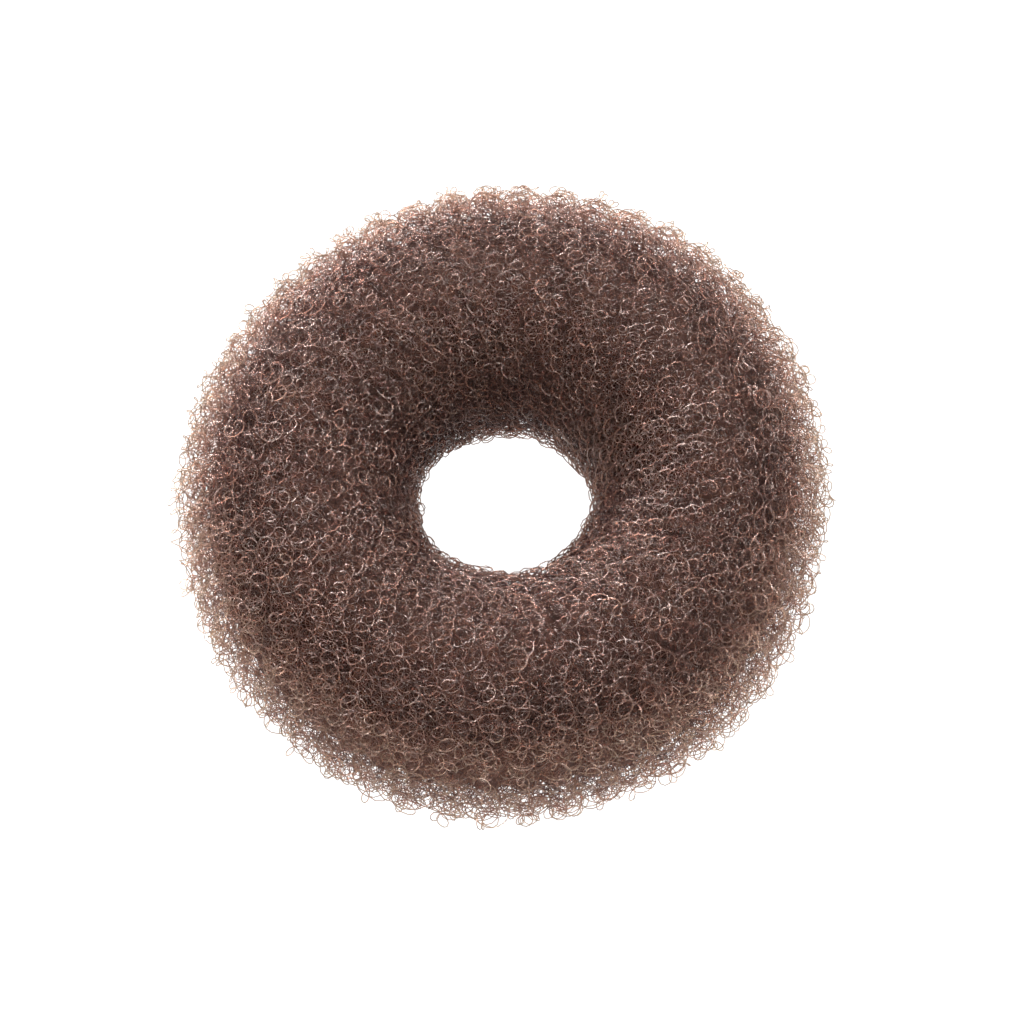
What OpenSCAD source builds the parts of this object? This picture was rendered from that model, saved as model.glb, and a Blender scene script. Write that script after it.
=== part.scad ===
// Padding ring for a hair bun: a knitted tube of curly nylon monofilament, rolled on itself
// into one soft ring. It lies on its underside, centred on the origin, with Z up.

/* [Ring] */
// Diameter over the crests of the ribs
ring_d = 90; // [60:1:120]
// Width of the hole that the gathered hair goes through
hole_d = 24; // [14:1:40]
// Height of the ring as it lies
ring_h = 38; // [24:1:50]

/* [Section] */
// Squareness of the tube's section, where 2 is a plain ellipse
section_power = 2.2; // [2:0.1:3]
// Depth of mesh that the ring's own weight presses flat underneath
rest_flat = 1; // [0.5:0.1:2]

/* [Ribs] */
// Knitted ribs, counted round the ring
rib_count = 50; // [30:1:70]
// Depth of the valley between two ribs on the outside of the ring
rib_depth_outside = 1.2; // [0:0.1:2]
// Depth of the valley between two ribs in the hole, where they are crowded
rib_depth_hole = 0.3; // [0:0.05:0.6]

/* [Unevenness] */
// How far the roll swells and thins round the ring, as a share of the tube's width
outside_swell = 0.016; // [0:0.002:0.03]
// How far the edge of the hole wanders, as a share of the tube's width
hole_swell = 0.007; // [0:0.001:0.02]

/* [Hidden] */

// Facets along one rib's width, and round the tube's section
rib_steps = 4;
section_steps = 24;

// Columns of the tables of bulges
BULGES = 0;  // how many stand round the ring
SHARE = 1;   // their height, as a share of the swell
TOWARDS = 2; // the direction of the first one, in degrees from X

// The roll is fuller on one diagonal, and a little lumpy between
outside_bulges = [
    [2, 1.0, 40],
    [3, 0.5, 58],
    [5, 0.3, 30],
];

// The hole has five soft corners, and is a little wider across
hole_bulges = [
    [2, 0.5, 5],
    [3, 0.3, 20],
    [5, 1.0, 5],
];

tube_w = (ring_d - hole_d) / 2;
half_h = (ring_h + rest_flat) / 2;
ring_steps = rib_count * rib_steps;

// Keeps the sign of a cosine or sine while it is raised to a power
function signed_pow(value, power) = sign(value) * pow(abs(value), power);

// Height of a table's bulges in one direction, as a share of the swell
function bulge(table, around, row = 0) =
    row == len(table) ? 0
    : table[row][SHARE] * cos(table[row][BULGES] * (around - table[row][TOWARDS]))
        + bulge(table, around, row + 1);

function outside_r(around) = ring_d / 2 + tube_w * outside_swell * bulge(outside_bulges, around);
function hole_r(around) = hole_d / 2 + tube_w * hole_swell * bulge(hole_bulges, around);

// How far a point lies under the crests: round lobes with sharp valleys, deeper on the outside
function rib_depth(around, outwardness) =
    (rib_depth_hole + (rib_depth_outside - rib_depth_hole) * outwardness)
        * (1 - abs(cos(around * rib_count / 2)));

// Point of the skin, by its direction round the ring and its turn round the section
function skin_point(around, turn) =
    let (
        middle_r = (outside_r(around) + hole_r(around)) / 2,
        half_w = (outside_r(around) - hole_r(around)) / 2,
        depth = rib_depth(around, (1 + cos(turn)) / 2),
        radius = middle_r + (half_w - depth) * signed_pow(cos(turn), 2 / section_power),
        height = half_h + (half_h - depth) * signed_pow(sin(turn), 2 / section_power)
    )
    [radius * cos(around), radius * sin(around), max(height, rest_flat) - rest_flat];

// Number of a point in the list that walks round the section, then on along the ring
function point_number(ring_step, section_step) =
    (ring_step % ring_steps) * section_steps + section_step % section_steps;

module mesh_ring() {
    points = [
        for (i = [0:ring_steps - 1], j = [0:section_steps - 1])
            skin_point(i * 360 / ring_steps, j * 360 / section_steps)
    ];
    faces = [
        for (i = [0:ring_steps - 1], j = [0:section_steps - 1], half = [0, 1])
            half == 0
                ? [point_number(i, j), point_number(i, j + 1), point_number(i + 1, j + 1)]
                : [point_number(i, j), point_number(i + 1, j + 1), point_number(i + 1, j)]
    ];
    color("#6a4f48") polyhedron(points, faces);
}

mesh_ring();
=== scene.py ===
# Padding ring for a hair bun: a knitted tube of curly brown nylon monofilament, rolled on itself
# into one soft ring, lying on a lit white studio table.
import math

import bpy
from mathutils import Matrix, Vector


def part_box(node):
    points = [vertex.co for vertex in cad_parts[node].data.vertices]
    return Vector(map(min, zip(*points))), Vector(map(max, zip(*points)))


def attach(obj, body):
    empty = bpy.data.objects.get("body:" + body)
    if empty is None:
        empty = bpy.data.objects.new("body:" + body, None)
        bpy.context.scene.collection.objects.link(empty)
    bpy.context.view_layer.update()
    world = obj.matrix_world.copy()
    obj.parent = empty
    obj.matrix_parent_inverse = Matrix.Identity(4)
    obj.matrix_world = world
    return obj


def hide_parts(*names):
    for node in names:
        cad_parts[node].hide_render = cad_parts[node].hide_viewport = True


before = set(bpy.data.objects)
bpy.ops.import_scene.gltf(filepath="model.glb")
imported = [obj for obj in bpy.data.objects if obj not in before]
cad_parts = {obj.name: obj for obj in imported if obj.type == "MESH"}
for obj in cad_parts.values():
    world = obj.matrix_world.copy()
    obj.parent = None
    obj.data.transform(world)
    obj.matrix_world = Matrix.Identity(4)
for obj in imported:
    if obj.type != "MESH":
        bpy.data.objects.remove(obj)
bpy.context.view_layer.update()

MM = 0.001  # metres

# The ring, in millimetres, as the solid that it replaces
RING_WIDTH = 90.0
HOLE_WIDTH = 24.0
REST_FLAT = 1.0
SECTION_POWER = 2.2
RIBS = 50
RIB_DEPTH_OUTSIDE = 1.2
RIB_DEPTH_HOLE = 0.3

# How far the roll swells on the outside and in the hole, as shares of the tube's width
OUTSIDE_SWELL = 0.016
HOLE_SWELL = 0.007

# Bulges: how many stand round the ring, their share of the swell, and where the first one points
OUTSIDE_BULGES = [(2, 1.0, 40), (3, 0.5, 58), (5, 0.3, 30)]
HOLE_BULGES = [(2, 0.5, 5), (3, 0.3, 20), (5, 1.0, 5)]

ring_low, ring_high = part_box("mesh_ring")
ring_height = (ring_high.z - ring_low.z) / MM

# Depth of the loose curls round the dense heart of the roll, and the share of it in the hole
CURL_BED = 4.0
HOLE_BED = 0.6

# Widths of the curls, and the shares of them in the hole and at the rim
SMALLEST_CURL = 2.3
LARGEST_CURL = 3.3
HOLE_CURL = 0.65
RIM_CURL = 0.5

# How far along a strand its course, the lean of its curls and their width stay alike
WANDER_LENGTH = 4.5
LEAN_LENGTH = 3.5
WIDTH_LENGTH = 5.0

# How far the noise swings from its middle where a curl is smallest or largest
WIDTH_SWING = 0.2

# Depths under the skin, in millimetres, between which the painted shade on a strand grows from none
# to full, as the shade of the mesh over it. A curl that stands above the skin has a negative depth
PAINTED_SHADE_BEGINS = -2.0
PAINTED_SHADE_FULL = 3.0

# Steps and a span that keep the random draws and the noise of the strands apart
SEED_STEP = 100.0
NOISE_SPAN = 1000.0
NOISE_STEP = 77.0

# Where round the section a change begins and ends, as the cosine of the turn: that is 1 on the
# outside, 0 above and below, and -1 in the hole
RIBS_DEEPEN = (0.0, 1.0)
BED_THICKENS = (-1.0, 0.2)
CURLS_WIDEN = (-1.0, 0.3)
CURLS_RISE = (0.3, 1.0)
CURLS_SHRINK = (0.5, 1.0)
# The painted shade lessens towards the outside, as painted light at the rim
PAINTED_SHADE_LESSENS = (0.0, 0.9)

# A strand goes round the section several times while it goes round the ring, then closes on itself
TURNS_ROUND_SECTION = 7

# Layers of curls from the surface inwards, whose strands cross. The columns are the depth under the
# surface and the strand's width in millimetres, the turns that a strand makes round the ring, the
# curls on each turn round the section, the steps on each curl, and the seed of the random draws
LAYERS = {
    "curls_outer_1": dict(depth=0.2, width=0.17, round_ring=-2, curls=48, steps=11, seed=1),
    "curls_outer_2": dict(depth=0.9, width=0.16, round_ring=3, curls=48, steps=11, seed=2),
    "curls_middle_1": dict(depth=1.7, width=0.13, round_ring=-3, curls=66, steps=8, seed=3),
    "curls_middle_2": dict(depth=2.6, width=0.13, round_ring=4, curls=60, steps=8, seed=4),
    "curls_deep": dict(depth=3.5, width=0.13, round_ring=-4, curls=56, steps=8, seed=5),
}


def linear(hex_colour):
    """An sRGB hex colour as the linear RGBA that a socket takes."""
    srgb = [int(hex_colour[i : i + 2], 16) / 255 for i in (1, 3, 5)]
    rgb = [c / 12.92 if c <= 0.04045 else ((c + 0.055) / 1.055) ** 2.4 for c in srgb]
    return (*rgb, 1.0)


def add(tree, kind, inputs=(), **settings):
    """Adds a node. inputs gives its sockets, by name or by place, a value or what is linked to them,
    which is an output, or a node for its first output. By place, a Map Range node takes a value, the
    two ends of the range that it comes from, and those of the range that it goes to."""
    node = tree.nodes.new(kind)
    for name, value in settings.items():
        setattr(node, name, value)
    sockets = [socket for socket in node.inputs if socket.enabled]
    named = {socket.name: socket for socket in reversed(sockets)}
    for key, value in dict(inputs).items():
        socket = sockets[key] if isinstance(key, int) else named[key]
        if isinstance(value, bpy.types.Node):
            value = next(output for output in value.outputs if output.enabled)
        if isinstance(value, bpy.types.NodeSocket):
            tree.links.new(value, socket)
        else:
            socket.default_value = value
    return node


def new_tree(name, inputs, outputs):
    """A node group and the sockets that give its inputs, which are named with a type and a value."""
    tree = bpy.data.node_groups.new(name, "GeometryNodeTree")
    for title, (kind, value) in inputs.items():
        socket = tree.interface.new_socket(title, in_out="INPUT", socket_type="NodeSocket" + kind)
        if value is not None:
            socket.default_value = value
    for title, kind in outputs.items():
        tree.interface.new_socket(title, in_out="OUTPUT", socket_type="NodeSocket" + kind)
    return tree, tree.nodes.new("NodeGroupInput").outputs


def signed_power(tree, value, power):
    """A cosine or sine raised to a power with its sign kept, which squares up a round section."""
    size = add(tree, "ShaderNodeMath", {0: value}, operation="ABSOLUTE")
    raised = add(tree, "ShaderNodeMath", {0: size, 1: power}, operation="POWER")
    sign = add(tree, "ShaderNodeMath", {0: value}, operation="SIGN")
    return add(tree, "ShaderNodeMath", {0: raised, 1: sign}, operation="MULTIPLY")


def swollen_radius(tree, around, radius, swell, table):
    """The radius of the outside or of the hole's edge in one direction, with its table of bulges."""
    total = radius
    for count, share, towards in table:
        turned = add(
            tree,
            "ShaderNodeMath",
            {0: around, 1: count, 2: -math.radians(count * towards)},
            operation="MULTIPLY_ADD",
        )
        wave = add(tree, "ShaderNodeMath", {0: turned}, operation="COSINE")
        total = add(
            tree,
            "ShaderNodeMath",
            {0: wave, 1: swell * share, 2: total},
            operation="MULTIPLY_ADD",
        )
    return total


def ring_skin():
    """Where a point lies, by its direction round the ring, its turn round the section and its
    depth. Ribs makes the ribs deeper than they are, for curls whose width fills the valleys."""
    tree, given = new_tree(
        "Ring skin",
        {
            "Around": ("Float", 0.0),
            "Turn": ("Float", 0.0),
            "Depth": ("Float", 0.0),
            "Ribs": ("Float", 1.0),
        },
        {"Point": "Vector"},
    )
    around, turn = given["Around"], given["Turn"]
    tube = (RING_WIDTH - HOLE_WIDTH) / 2 * MM
    outside = swollen_radius(tree, around, RING_WIDTH / 2 * MM, tube * OUTSIDE_SWELL, OUTSIDE_BULGES)
    hole = swollen_radius(tree, around, HOLE_WIDTH / 2 * MM, tube * HOLE_SWELL, HOLE_BULGES)

    # The ribs are round lobes with sharp valleys between them, deeper on the outside
    rib_turn = add(tree, "ShaderNodeMath", {0: around, 1: RIBS / 2}, operation="MULTIPLY")
    lobe = add(tree, "ShaderNodeMath", {0: rib_turn}, operation="COSINE")
    lobe = add(tree, "ShaderNodeMath", {0: lobe}, operation="ABSOLUTE")
    valley = add(tree, "ShaderNodeMath", {0: 1.0, 1: lobe}, operation="SUBTRACT")
    outwards = add(tree, "ShaderNodeMath", {0: turn}, operation="COSINE")
    upwards = add(tree, "ShaderNodeMath", {0: turn}, operation="SINE")
    begins, ends = RIBS_DEEPEN
    rib_depth = add(
        tree,
        "ShaderNodeMapRange",
        {0: outwards, 1: begins, 2: ends, 3: RIB_DEPTH_HOLE * MM, 4: RIB_DEPTH_OUTSIDE * MM},
        interpolation_type="SMOOTHSTEP",
    )
    rib_depth = add(tree, "ShaderNodeMath", {0: rib_depth, 1: given["Ribs"]}, operation="MULTIPLY")

    # The bed of curls is thinner in the hole, where the mesh is crowded
    begins, ends = BED_THICKENS
    share = add(tree, "ShaderNodeMapRange", {0: outwards, 1: begins, 2: ends, 3: HOLE_BED, 4: 1.0})
    depth = add(tree, "ShaderNodeMath", {0: given["Depth"], 1: share}, operation="MULTIPLY")
    depth = add(tree, "ShaderNodeMath", {0: valley, 1: rib_depth, 2: depth}, operation="MULTIPLY_ADD")

    # The section is a squared ellipse, from the hole's edge to the outside
    whole = add(tree, "ShaderNodeMath", {0: outside, 1: hole}, operation="ADD")
    middle = add(tree, "ShaderNodeMath", {0: whole, 1: 0.5}, operation="MULTIPLY")
    wall = add(tree, "ShaderNodeMath", {0: outside, 1: middle}, operation="SUBTRACT")
    half_width = add(tree, "ShaderNodeMath", {0: wall, 1: depth}, operation="SUBTRACT")
    half_height = (ring_height + REST_FLAT) / 2 * MM
    half_rise = add(tree, "ShaderNodeMath", {0: half_height, 1: depth}, operation="SUBTRACT")
    out = signed_power(tree, outwards, 2 / SECTION_POWER)
    up = signed_power(tree, upwards, 2 / SECTION_POWER)
    radius = add(tree, "ShaderNodeMath", {0: out, 1: half_width, 2: middle}, operation="MULTIPLY_ADD")
    height = add(
        tree,
        "ShaderNodeMath",
        {0: up, 1: half_rise, 2: half_height - REST_FLAT * MM},
        operation="MULTIPLY_ADD",
    )

    # What would reach below the table is pressed flat on it
    floor = add(tree, "ShaderNodeMath", {0: height, 1: 0.0}, operation="MAXIMUM")
    flat = add(tree, "ShaderNodeCombineXYZ", {"X": radius, "Z": floor})
    point = add(
        tree,
        "ShaderNodeVectorRotate",
        {"Vector": flat, "Angle": around},
        rotation_type="Z_AXIS",
    )
    add(tree, "NodeGroupOutput", {"Point": point})
    return tree


def rolled_heart(skin):
    """The dense heart of the roll: a closed ring under the curls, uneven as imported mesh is."""
    tree, given = new_tree(
        "Rolled heart",
        {
            "Geometry": ("Geometry", None),
            "Steps Around": ("Int", 300),
            "Steps Round Section": ("Int", 80),
            "Seam": ("Float", 0.001 * MM),
            "Depth": ("Float", CURL_BED * MM),
            "Unevenness": ("Float", 0.8 * MM),
            "Lump Size": ("Float", 3.0 * MM),
            "Material": ("Material", None),
        },
        {"Geometry": "Geometry"},
    )
    columns = add(tree, "ShaderNodeMath", {0: given["Steps Around"], 1: 1.0}, operation="ADD")
    rows = add(tree, "ShaderNodeMath", {0: given["Steps Round Section"], 1: 1.0}, operation="ADD")
    sheet = add(
        tree,
        "GeometryNodeMeshGrid",
        {"Size X": math.tau, "Size Y": math.tau, "Vertices X": columns, "Vertices Y": rows},
    )
    place = add(tree, "ShaderNodeSeparateXYZ", {0: add(tree, "GeometryNodeInputPosition")})
    point = add(
        tree,
        "GeometryNodeGroup",
        {"Around": place.outputs["X"], "Turn": place.outputs["Y"], "Depth": given["Depth"]},
        node_tree=skin,
    )
    bent = add(tree, "GeometryNodeSetPosition", {"Geometry": sheet, "Position": point})
    closed = add(tree, "GeometryNodeMergeByDistance", {"Geometry": bent, "Distance": given["Seam"]})
    lump_scale = add(tree, "ShaderNodeMath", {0: 1.0, 1: given["Lump Size"]}, operation="DIVIDE")
    lumps = add(tree, "ShaderNodeTexNoise", {"Scale": lump_scale, "Detail": 2.0})
    height = add(tree, "ShaderNodeMath", {0: lumps.outputs[0], 1: 0.5}, operation="SUBTRACT")
    rise = add(tree, "ShaderNodeMath", {0: height, 1: given["Unevenness"]}, operation="MULTIPLY")
    offset = add(
        tree,
        "ShaderNodeVectorMath",
        {0: add(tree, "GeometryNodeInputNormal"), "Scale": rise},
        operation="SCALE",
    )
    lumpy = add(tree, "GeometryNodeSetPosition", {"Geometry": closed, "Offset": offset})
    smooth = add(tree, "GeometryNodeSetShadeSmooth", {"Geometry": lumpy})
    realized = add(tree, "GeometryNodeRealizeInstances", {"Geometry": smooth})
    dressed = add(tree, "GeometryNodeSetMaterial", {"Geometry": realized, "Material": given["Material"]})
    add(tree, "NodeGroupOutput", {"Geometry": dressed})
    return tree


def strand_chances(tree, strand, seed):
    """Random numbers from 0 to 1 for each strand: its place, its noise, its first curl, its tint."""
    chances = []
    for number in range(4):
        own_seed = add(tree, "ShaderNodeMath", {0: seed, 1: SEED_STEP * number}, operation="ADD")
        chance = add(
            tree,
            "FunctionNodeRandomValue",
            {"ID": strand, "Seed": own_seed},
            data_type="FLOAT",
        )
        chances.append(chance.outputs[1])
    return chances


def crowded_turn(tree, given, even):
    """The turn round the section, with the curls closer together on the outside and above, and how
    far it points outwards."""
    outwards = add(tree, "ShaderNodeMath", {0: even}, operation="COSINE")
    upwards = add(tree, "ShaderNodeMath", {0: even}, operation="SINE")
    crowded = add(
        tree,
        "ShaderNodeMath",
        {0: upwards, 1: given["Crowding Outside"]},
        operation="MULTIPLY",
    )
    turn = add(tree, "ShaderNodeMath", {0: even, 1: crowded}, operation="SUBTRACT")
    crowded = add(
        tree,
        "ShaderNodeMath",
        {0: outwards, 1: given["Crowding Above"]},
        operation="MULTIPLY",
    )
    turn = add(tree, "ShaderNodeMath", {0: turn, 1: crowded}, operation="ADD")
    return turn, outwards


def strand_direction(tree, given, even, strand, chance):
    """The direction round the ring: the strands start about evenly between one strand's passes."""
    slant = add(
        tree,
        "ShaderNodeMath",
        {0: given["Turns Round Ring"], 1: given["Turns Round Section"]},
        operation="DIVIDE",
    )
    passes = add(
        tree,
        "ShaderNodeMath",
        {0: given["Strands"], 1: given["Turns Round Section"]},
        operation="MULTIPLY",
    )
    place = add(
        tree,
        "ShaderNodeMath",
        {0: chance, 1: given["Uneven Start"], 2: strand},
        operation="MULTIPLY_ADD",
    )
    place = add(tree, "ShaderNodeMath", {0: place, 1: passes}, operation="DIVIDE")
    place = add(tree, "ShaderNodeMath", {0: place, 1: math.tau}, operation="MULTIPLY")
    return add(tree, "ShaderNodeMath", {0: even, 1: slant, 2: place}, operation="MULTIPLY_ADD")


def strand_swings(tree, skin, around, turn, chance):
    """Noise of its own for each strand, along its course with no curls: one each for that course,
    for the lean of its curls and for their width."""
    own = add(tree, "ShaderNodeMath", {0: chance, 1: NOISE_SPAN}, operation="MULTIPLY")
    straight = add(tree, "GeometryNodeGroup", {"Around": around, "Turn": turn}, node_tree=skin)
    swings = []
    for length in (WANDER_LENGTH, LEAN_LENGTH, WIDTH_LENGTH):
        noise = add(
            tree,
            "ShaderNodeTexNoise",
            {"Vector": straight, "W": own, "Scale": 1 / (length * MM), "Detail": 0.0},
            noise_dimensions="4D",
        )
        centred = add(
            tree,
            "ShaderNodeVectorMath",
            {0: noise.outputs["Color"], 1: (0.5, 0.5, 0.5)},
            operation="SUBTRACT",
        )
        swings.append(centred)
        own = add(tree, "ShaderNodeMath", {0: own, 1: NOISE_STEP}, operation="ADD")
    return swings


def strand_course(tree, given, skin, around, turn, outwards, swing):
    """The direction, the depth and the place of a strand as it wanders. It rises at the rim."""
    path = add(tree, "ShaderNodeSeparateXYZ", {0: swing})
    around = add(
        tree,
        "ShaderNodeMath",
        {0: path.outputs["X"], 1: given["Wander Around"], 2: around},
        operation="MULTIPLY_ADD",
    )
    turn = add(
        tree,
        "ShaderNodeMath",
        {0: path.outputs["Y"], 1: given["Wander Along"], 2: turn},
        operation="MULTIPLY_ADD",
    )
    depth = add(
        tree,
        "ShaderNodeMath",
        {0: path.outputs["Z"], 1: given["Wander In"], 2: given["Depth"]},
        operation="MULTIPLY_ADD",
    )
    begins, ends = CURLS_RISE
    rise = add(
        tree,
        "ShaderNodeMapRange",
        {0: outwards, 1: begins, 2: ends, 3: 0.0, 4: given["Rim Rise"]},
    )
    depth = add(tree, "ShaderNodeMath", {0: depth, 1: rise}, operation="SUBTRACT")
    course = add(
        tree,
        "GeometryNodeGroup",
        {"Around": around, "Turn": turn, "Depth": depth, "Ribs": given["Ribs"]},
        node_tree=skin,
    )
    return around, depth, course


def curl_directions(tree, given, around, outwards):
    """The way sideways to a strand, the way out of the skin, and the way that a curl faces, which
    is more upright on the outside and in the hole."""
    forward = add(tree, "GeometryNodeInputTangent")
    sideways = add(
        tree,
        "ShaderNodeVectorRotate",
        {"Vector": (0.0, 1.0, 0.0), "Angle": around},
        rotation_type="Z_AXIS",
    )
    outward = add(tree, "ShaderNodeVectorMath", {0: sideways, 1: forward}, operation="CROSS_PRODUCT")
    outward = add(tree, "ShaderNodeVectorMath", {0: outward}, operation="NORMALIZE")
    outside = add(
        tree,
        "ShaderNodeMath",
        {0: outwards, 1: given["Upright Outside"]},
        operation="MULTIPLY",
    )
    inwards = add(tree, "ShaderNodeMath", {0: outwards, 1: -1.0}, operation="MULTIPLY")
    in_hole = add(
        tree,
        "ShaderNodeMath",
        {0: inwards, 1: given["Upright In Hole"]},
        operation="MULTIPLY",
    )
    most = add(tree, "ShaderNodeMath", {0: outside, 1: in_hole}, operation="MAXIMUM")
    upright = add(tree, "ShaderNodeCombineXYZ", {"Z": most})
    facing = add(tree, "ShaderNodeVectorMath", {0: outward, 1: upright}, operation="ADD")
    return sideways, outward, facing


def curl_width(tree, given, outwards, swing):
    """The width of a curl, which changes along the strand and is less in the hole."""
    part = add(tree, "ShaderNodeSeparateXYZ", {0: swing})
    width = add(
        tree,
        "ShaderNodeMapRange",
        {
            0: part.outputs["X"],
            1: -WIDTH_SWING,
            2: WIDTH_SWING,
            3: given["Smallest Curl"],
            4: given["Largest Curl"],
        },
    )
    begins, ends = CURLS_WIDEN
    room = add(tree, "ShaderNodeMapRange", {0: outwards, 1: begins, 2: ends, 3: HOLE_CURL, 4: 1.0})
    return add(tree, "ShaderNodeMath", {0: width, 1: room}, operation="MULTIPLY")


def curl_angle(tree, given, width, strand, chance):
    """How far round its curl a step is, as an angle. A wide curl takes more steps than a narrow
    one."""
    usual = add(
        tree,
        "ShaderNodeMath",
        {0: given["Smallest Curl"], 1: given["Largest Curl"]},
        operation="ADD",
    )
    usual = add(tree, "ShaderNodeMath", {0: usual, 1: 0.5}, operation="MULTIPLY")
    per_step = add(tree, "ShaderNodeMath", {0: math.tau, 1: given["Steps Per Curl"]}, operation="DIVIDE")
    narrowness = add(tree, "ShaderNodeMath", {0: usual, 1: width}, operation="DIVIDE")
    per_step = add(tree, "ShaderNodeMath", {0: per_step, 1: narrowness}, operation="MULTIPLY")
    swept = add(tree, "GeometryNodeAccumulateField", {0: per_step, 1: strand}, data_type="FLOAT")

    # The curls on a strand come to a whole number, so that its last step meets its first
    whole = add(tree, "ShaderNodeMath", {0: swept.outputs["Total"], 1: math.tau}, operation="DIVIDE")
    rounded = add(tree, "ShaderNodeMath", {0: whole}, operation="ROUND")
    stretch = add(tree, "ShaderNodeMath", {0: rounded, 1: whole}, operation="DIVIDE")
    start = add(tree, "ShaderNodeMath", {0: chance, 1: math.tau}, operation="MULTIPLY")
    return add(
        tree,
        "ShaderNodeMath",
        {0: swept.outputs["Leading"], 1: stretch, 2: start},
        operation="MULTIPLY_ADD",
    )


def curl_arm(tree, given, outwards, directions, width, angle, swing):
    """The curl itself: an arm that turns round the way it faces, leant over by the noise. The arm is
    half the curl's width, and shorter at the rim."""
    sideways, facing = directions
    begins, ends = CURLS_SHRINK
    share = add(tree, "ShaderNodeMapRange", {0: outwards, 1: begins, 2: ends, 3: 0.5, 4: RIM_CURL / 2})
    radius = add(tree, "ShaderNodeMath", {0: width, 1: share}, operation="MULTIPLY")
    size = add(tree, "ShaderNodeVectorMath", {0: swing}, operation="LENGTH")
    lean = add(
        tree,
        "ShaderNodeMath",
        {0: size.outputs["Value"], 1: given["Lean"]},
        operation="MULTIPLY",
    )
    arm = add(tree, "ShaderNodeVectorMath", {0: sideways, "Scale": radius}, operation="SCALE")
    arm = add(tree, "ShaderNodeVectorRotate", {"Vector": arm, "Axis": facing, "Angle": angle})
    return add(tree, "ShaderNodeVectorRotate", {"Vector": arm, "Axis": swing, "Angle": lean})


def painted_mesh_shade(tree, given, outwards, outward, depth, arm):
    """How much painted shade a step gets, from 0 for none to 1, by how deep it lies under the mesh,
    so that the high parts of a curl are painted lighter. It is less on the outside, as painted light
    for the light that comes in from the side there."""
    lift = add(tree, "ShaderNodeVectorMath", {0: arm, 1: outward}, operation="DOT_PRODUCT")
    below = add(tree, "ShaderNodeMath", {0: depth, 1: lift.outputs["Value"]}, operation="SUBTRACT")
    painted_shade = add(
        tree,
        "ShaderNodeMapRange",
        {0: below, 1: PAINTED_SHADE_BEGINS * MM, 2: PAINTED_SHADE_FULL * MM, 3: 0.0, 4: 1.0},
    )
    # Less painted shade on the outside: painted light for the light that comes in from the side there
    begins, ends = PAINTED_SHADE_LESSENS
    less_at_rim = add(
        tree,
        "ShaderNodeMapRange",
        {0: outwards, 1: begins, 2: ends, 3: 1.0, 4: given["Rim Painted Shade"]},
    )
    return add(tree, "ShaderNodeMath", {0: painted_shade, 1: less_at_rim}, operation="MULTIPLY")


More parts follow.
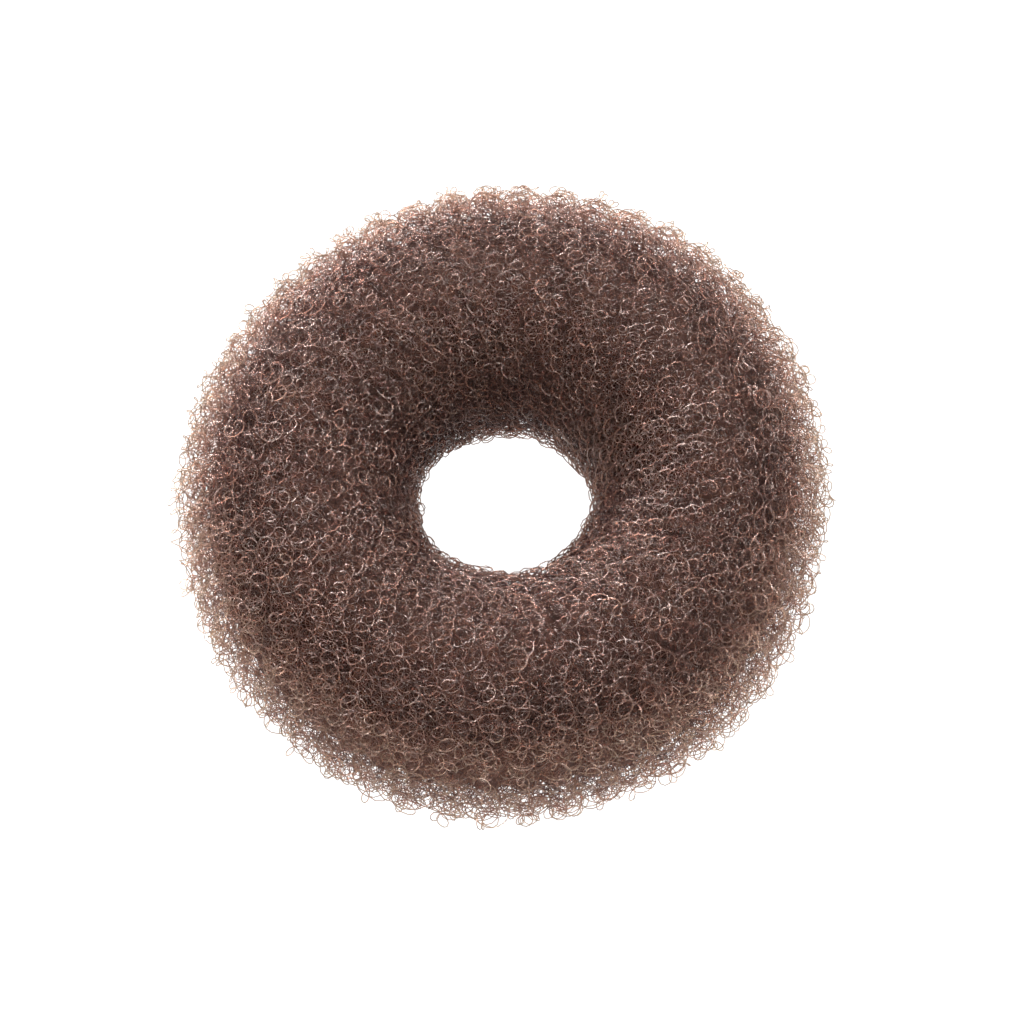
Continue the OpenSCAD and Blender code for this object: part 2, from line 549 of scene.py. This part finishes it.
def curly_strands(skin):
    """Strands that wind round the section and the ring in curls. Each closes on itself, so that no
    end shows."""
    tree, given = new_tree(
        "Curly strands",
        {
            "Geometry": ("Geometry", None),
            "Strands": ("Int", 9),
            "Turns Round Section": ("Int", TURNS_ROUND_SECTION),
            "Turns Round Ring": ("Int", 4),
            "Curls Per Turn": ("Int", 50),
            "Steps Per Curl": ("Int", 8),
            "Depth": ("Float", 1.0 * MM),
            "Smallest Curl": ("Float", SMALLEST_CURL * MM),
            "Largest Curl": ("Float", LARGEST_CURL * MM),
            "Strand Width": ("Float", 0.15 * MM),
            "Uneven Start": ("Float", 0.6),
            "Wander Around": ("Float", 0.17),
            "Wander Along": ("Float", 0.15),
            "Wander In": ("Float", 2.0 * MM),
            "Rim Rise": ("Float", 0.55 * MM),
            "Ribs": ("Float", 1.6),
            "Upright Outside": ("Float", 2.0),
            "Upright In Hole": ("Float", 0.6),
            "Lean": ("Float", 1.1),
            # The share of the painted shade left at the rim, where the strands are painted lighter
            "Rim Painted Shade": ("Float", 0.57),
            "Crowding Outside": ("Float", 0.42),
            "Crowding Above": ("Float", 0.3),
            "Seed": ("Int", 0),
            "Material": ("Material", None),
        },
        {"Geometry": "Geometry"},
    )

    # Closed lines with a point for each step
    steps = add(
        tree,
        "ShaderNodeMath",
        {0: given["Curls Per Turn"], 1: given["Steps Per Curl"]},
        operation="MULTIPLY",
    )
    points = add(
        tree,
        "ShaderNodeMath",
        {0: steps, 1: given["Turns Round Section"]},
        operation="MULTIPLY",
    )
    loop = add(tree, "GeometryNodeCurvePrimitiveCircle", {"Resolution": points, "Radius": 1.0})
    copies = add(
        tree,
        "GeometryNodeDuplicateElements",
        {"Geometry": loop, "Amount": given["Strands"]},
        domain="SPLINE",
    )
    strand = copies.outputs["Duplicate Index"]
    place_chance, noise_chance, curl_chance, tint = strand_chances(tree, strand, given["Seed"])

    # The lines are laid on the skin of the ring
    step = add(tree, "GeometryNodeSplineParameter").outputs["Index"]
    even = add(tree, "ShaderNodeMath", {0: step, 1: steps}, operation="DIVIDE")
    even = add(tree, "ShaderNodeMath", {0: even, 1: math.tau}, operation="MULTIPLY")
    turn, outwards = crowded_turn(tree, given, even)
    around = strand_direction(tree, given, even, strand, place_chance)
    wander, lean, breadth = strand_swings(tree, skin, around, turn, noise_chance)
    around, depth, course = strand_course(tree, given, skin, around, turn, outwards, wander)
    lines = add(tree, "GeometryNodeSetPosition", {"Geometry": copies, "Position": course})

    # Each step swings out on the arm of its curl
    sideways, outward, facing = curl_directions(tree, given, around, outwards)
    width = curl_width(tree, given, outwards, breadth)
    angle = curl_angle(tree, given, width, strand, curl_chance)
    arm = curl_arm(tree, given, outwards, (sideways, facing), width, angle, lean)

    # The painted shade of each step and the strand's own tint are kept for the material
    painted_shade = painted_mesh_shade(tree, given, outwards, outward, depth, arm)
    marked = lines
    for title, value in (("painted_shade", painted_shade), ("tint", tint)):
        marked = add(
            tree,
            "GeometryNodeStoreNamedAttribute",
            {"Geometry": marked, "Name": title, "Value": value},
            data_type="FLOAT",
            domain="POINT",
        )
    curled = add(tree, "GeometryNodeSetPosition", {"Geometry": marked, "Offset": arm})

    # What would reach below the table is pressed flat on it
    here = add(tree, "ShaderNodeSeparateXYZ", {0: add(tree, "GeometryNodeInputPosition")})
    half_strand = add(tree, "ShaderNodeMath", {0: given["Strand Width"], 1: 0.5}, operation="MULTIPLY")
    above = add(tree, "ShaderNodeMath", {0: here.outputs["Z"], 1: half_strand}, operation="MAXIMUM")
    pressed = add(
        tree,
        "ShaderNodeCombineXYZ",
        {"X": here.outputs["X"], "Y": here.outputs["Y"], "Z": above},
    )
    rested = add(tree, "GeometryNodeSetPosition", {"Geometry": curled, "Position": pressed})

    # A strand is a tube with three sides, which shade as round
    section = add(tree, "GeometryNodeCurvePrimitiveCircle", {"Resolution": 3, "Radius": half_strand})
    thick = add(tree, "GeometryNodeCurveToMesh", {"Curve": rested, "Profile Curve": section})
    smooth = add(tree, "GeometryNodeSetShadeSmooth", {"Geometry": thick})
    realized = add(tree, "GeometryNodeRealizeInstances", {"Geometry": smooth})
    dressed = add(tree, "GeometryNodeSetMaterial", {"Geometry": realized, "Material": given["Material"]})
    add(tree, "NodeGroupOutput", {"Geometry": dressed})
    return tree


def grow(name, tree, sizes):
    """Runs a tree with these sizes and keeps its result as a plain mesh in a new object."""
    grower = bpy.data.objects.new(name + "_grower", bpy.data.meshes.new(name + "_grower"))
    bpy.context.scene.collection.objects.link(grower)
    modifier = grower.modifiers.new("Growth", "NODES")
    modifier.node_group = tree
    for item in tree.interface.items_tree:
        if item.in_out == "INPUT" and item.name in sizes:
            modifier[item.identifier] = sizes[item.name]
    grown = grower.evaluated_get(bpy.context.evaluated_depsgraph_get())
    mesh = bpy.data.meshes.new_from_object(grown)
    mesh.name = name
    bpy.data.objects.remove(grower)
    piece = bpy.data.objects.new(name, mesh)
    bpy.context.scene.collection.objects.link(piece)
    return piece


def new_material(name):
    """An empty material, the tree in it, and its shader."""
    material = bpy.data.materials.new(name)
    material.use_nodes = True
    tree = material.node_tree
    tree.nodes.clear()
    return material, tree, add(tree, "ShaderNodeBsdfPrincipled")


# Colours of the strands by their painted shade, from bare to deep in the roll: painted darker the more
# mesh lies over a strand, as the shade that it throws
PAINTED_SHADE_COLOURS = [(0.0, "#d0bda4"), (0.36, "#a87c6b"), (0.6, "#6a4740"), (1.0, "#583b36")]
FAINTEST_TINT = 0.84
STRONGEST_TINT = 1.14


def crimped_nylon():
    """Nylon monofilament, dyed in the melt, extruded and heat-crimped. It is clear and brown, so
    light comes through the outer curls, and a fine line of gloss runs along each strand. Its colour
    also holds painted shade: darker deep under the mesh, lighter on bare curls and at the rim."""
    material, tree, shader = new_material("crimped_nylon_monofilament")
    # The base colour holds painted shade: darker the deeper a strand lies under the mesh, lighter on the
    # tops of curls and at the rim
    painted_shade = add(tree, "ShaderNodeAttribute", attribute_name="painted_shade").outputs["Fac"]
    ramp = add(tree, "ShaderNodeValToRGB", {"Fac": painted_shade})
    stops = ramp.color_ramp.elements
    stops.remove(stops[1])
    stops[0].color = linear(PAINTED_SHADE_COLOURS[0][1])
    for place, colour in PAINTED_SHADE_COLOURS[1:]:
        stops.new(place).color = linear(colour)
    tint = add(tree, "ShaderNodeAttribute", attribute_name="tint").outputs["Fac"]
    strength = add(
        tree,
        "ShaderNodeMapRange",
        {0: tint, 1: 0.0, 2: 1.0, 3: FAINTEST_TINT, 4: STRONGEST_TINT},
    )
    colour = add(
        tree,
        "ShaderNodeVectorMath",
        {0: ramp.outputs["Color"], "Scale": strength},
        operation="SCALE",
    )
    tree.links.new(colour.outputs["Vector"], shader.inputs["Base Color"])

    # Nylon has an IOR of about 1.53, and an extruded strand is smooth and nearly clear
    shader.inputs["Roughness"].default_value = 0.23
    shader.inputs["IOR"].default_value = 1.53
    shader.inputs["Transmission Weight"].default_value = 0.93
    shader.inputs["Specular IOR Level"].default_value = 1.0
    shader.inputs["Specular Tint"].default_value = linear("#ffe6dc")
    add(tree, "ShaderNodeOutputMaterial", {"Surface": shader})
    return material


# Arcs of curls on the heart, in millimetres: how far apart they are, their radius, and the share of
# the full height that they stand up, which also paints the lower arcs darker as shade. An arc is
# solid near its line, and fades away from it
ARCS = [(2.9, 1.15, 1.0), (2.5, 0.95, 0.8), (3.3, 1.35, 0.6), (2.2, 0.8, 0.45)]
ARC_SOLID = 0.04
ARC_FADED = 0.1
ARC_HEIGHT = 0.2


def packed_nylon_in_shade():
    """The same monofilament packed tight in the heart of the roll: matt, and painted dark for the shade
    deep in the roll, where curls show only as dim arcs, the lower ones painted dimmer."""
    material, tree, shader = new_material("packed_nylon_painted_shade")
    coords = add(tree, "ShaderNodeTexCoord").outputs["Object"]

    # Arcs of curls are spheres round random points, cut by the surface
    highest = 0.0
    for spacing, radius, height in ARCS:
        cells = add(tree, "ShaderNodeTexVoronoi", {"Vector": coords, "Scale": 1 / (spacing * MM)})
        away = add(
            tree,
            "ShaderNodeMath",
            {0: cells.outputs["Distance"], 1: radius / spacing},
            operation="SUBTRACT",
        )
        away = add(tree, "ShaderNodeMath", {0: away}, operation="ABSOLUTE")
        arc = add(
            tree,
            "ShaderNodeMapRange",
            {0: away, 1: ARC_SOLID / spacing, 2: ARC_FADED / spacing, 3: height, 4: 0.0},
            interpolation_type="SMOOTHSTEP",
        )
        highest = add(tree, "ShaderNodeMath", {0: arc, 1: highest}, operation="MAXIMUM")
    # Painted shade: the heart is dark for the shade deep in the roll, and the lower arcs are painted
    # darker
    ramp = add(tree, "ShaderNodeValToRGB", {"Fac": highest})
    ramp.color_ramp.elements[0].color = linear("#3e2a24")
    ramp.color_ramp.elements[1].color = linear("#583d32")
    bump = add(tree, "ShaderNodeBump", {"Height": highest, "Strength": 0.6, "Distance": ARC_HEIGHT * MM})
    tree.links.new(ramp.outputs["Color"], shader.inputs["Base Color"])
    tree.links.new(bump.outputs["Normal"], shader.inputs["Normal"])
    shader.inputs["Roughness"].default_value = 0.85
    shader.inputs["Specular IOR Level"].default_value = 0.1
    add(tree, "ShaderNodeOutputMaterial", {"Surface": shader})
    return material


def lit_table():
    """White acrylic sheet lit from below, so that it is plain white and shows no shadow."""
    material, tree, shader = new_material("lit_white_acrylic")

    # The white comes from the light inside, and little light from the studio is thrown back
    shader.inputs["Base Color"].default_value = linear("#383838")
    shader.inputs["Roughness"].default_value = 0.8
    shader.inputs["Emission Color"].default_value = linear("#ffffff")
    shader.inputs["Emission Strength"].default_value = 1.15
    add(tree, "ShaderNodeOutputMaterial", {"Surface": shader})
    return material


# The camera stands in front and looks down steeply
CAMERA_ELEVATION = math.radians(70.5)
CAMERA_DISTANCE = 700 * MM
FRAME_WIDTH = 142.4 * MM
AIM_RIGHT = 1.0 * MM
AIM_DOWN = 1.5 * MM
SENSOR = 36.0


def stand_camera():
    lens = bpy.data.cameras.new("camera")
    lens.sensor_width = SENSOR
    lens.lens = SENSOR * CAMERA_DISTANCE / FRAME_WIDTH
    camera = bpy.data.objects.new("camera", lens)
    bpy.context.scene.collection.objects.link(camera)
    back = Vector((0, -math.cos(CAMERA_ELEVATION), math.sin(CAMERA_ELEVATION)))
    picture_up = Vector((0, math.sin(CAMERA_ELEVATION), math.cos(CAMERA_ELEVATION)))
    aim = Vector((AIM_RIGHT, 0, ring_height / 2 * MM)) - picture_up * AIM_DOWN
    camera.location = aim + back * CAMERA_DISTANCE
    camera.rotation_euler = (-back).to_track_quat("-Z", "Y").to_euler()
    bpy.context.scene.camera = camera


# Softboxes that stand round the ring and face it, in metres and watts. Three are small, so that a
# strand has a fine glint, and a wide low one lights the rim at the back
SOFTBOXES = {
    "right softbox": dict(place=(0.8, 0.45, 0.55), width=0.18, height=0.18, watts=25.0),
    "left softbox": dict(place=(-0.55, 0.72, 0.72), width=0.18, height=0.18, watts=22.0),
    "front softbox": dict(place=(-0.2, -0.83, 0.7), width=0.18, height=0.18, watts=26.0),
    "low back softbox": dict(place=(-0.45, 1.0, 0.3), width=0.6, height=0.3, watts=40.0),
}
ROOM_LIGHT = 0.29


def light_studio():
    for name, box in SOFTBOXES.items():
        light = bpy.data.lights.new(name, "AREA")
        light.shape = "RECTANGLE"
        light.size = box["width"]
        light.size_y = box["height"]
        light.energy = box["watts"]
        lamp = bpy.data.objects.new(name, light)
        bpy.context.scene.collection.objects.link(lamp)
        lamp.location = box["place"]
        lamp.rotation_euler = (-Vector(box["place"])).to_track_quat("-Z", "Y").to_euler()
    world = bpy.data.worlds.new("studio")
    bpy.context.scene.world = world
    world.use_nodes = True
    background = world.node_tree.nodes["Background"]
    background.inputs["Color"].default_value = linear("#ffffff")
    background.inputs["Strength"].default_value = ROOM_LIGHT


TABLE_REACH = 3.0  # metres, from the middle to an edge


def lay_table():
    reach = TABLE_REACH
    mesh = bpy.data.meshes.new("table")
    corners = [(-reach, -reach, 0), (reach, -reach, 0), (reach, reach, 0), (-reach, reach, 0)]
    mesh.from_pydata(corners, [], [(0, 1, 2, 3)])
    mesh.materials.append(lit_table())
    table = bpy.data.objects.new("table", mesh)
    bpy.context.scene.collection.objects.link(table)


stand_camera()
light_studio()
lay_table()

skin = ring_skin()
strand_material = crimped_nylon()
heart = grow("rolled_heart", rolled_heart(skin), {"Material": packed_nylon_in_shade()})
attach(heart, "root")
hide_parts("mesh_ring")

strand_tree = curly_strands(skin)
for name, layer in LAYERS.items():
    curls = grow(
        name,
        strand_tree,
        {
            "Turns Round Ring": layer["round_ring"],
            "Curls Per Turn": layer["curls"],
            "Steps Per Curl": layer["steps"],
            "Strand Width": layer["width"] * MM,
            "Depth": layer["depth"] * MM,
            "Seed": layer["seed"],
            "Material": strand_material,
        },
    )
    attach(curls, "root")

bpy.context.scene.view_settings.view_transform = "Standard"
